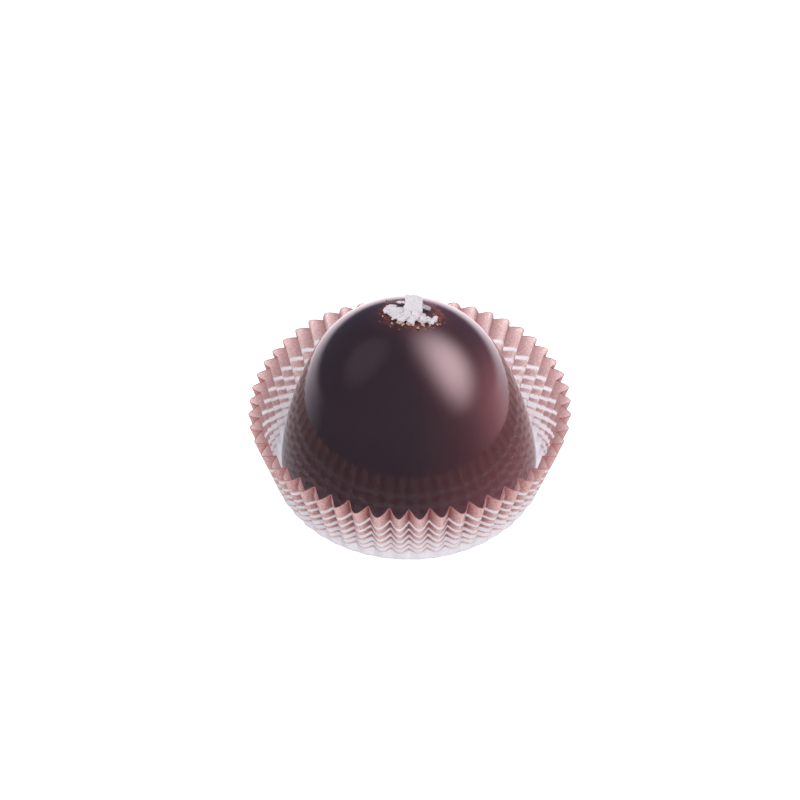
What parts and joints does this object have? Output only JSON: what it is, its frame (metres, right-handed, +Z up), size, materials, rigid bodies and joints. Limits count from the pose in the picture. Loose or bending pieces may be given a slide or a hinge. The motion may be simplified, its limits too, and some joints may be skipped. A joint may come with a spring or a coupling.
{
  "type": "chocolate truffle in paper case",
  "caption": "Tall glossy dark chocolate truffle, domed and topped with a pinch of flaky salt, sitting in a fluted paper case printed with pale rings.",
  "frame": {"origin": "middle of the flat base of the paper case, on the surface that it rests on", "axes": "+Z up along the axis of the case and the truffle, -Y towards the side that is seen first, +X to its right"},
  "size_m": [0.04, 0.04, 0.0269],
  "materials": {
    "printed_paper": "thin matte paper, printed with dusty rose rings that leave white rings between them, pale towards the base",
    "dark_chocolate": "tempered dark chocolate from a polished mould, smooth and glossy",
    "flaky_salt": "frosted white crystal flakes and crumbs"
  },
  "bodies": {
    "root": {"paper_case": "printed_paper", "truffle": "dark_chocolate", "salt_flakes": "flaky_salt"}
  },
  "joints": []
}
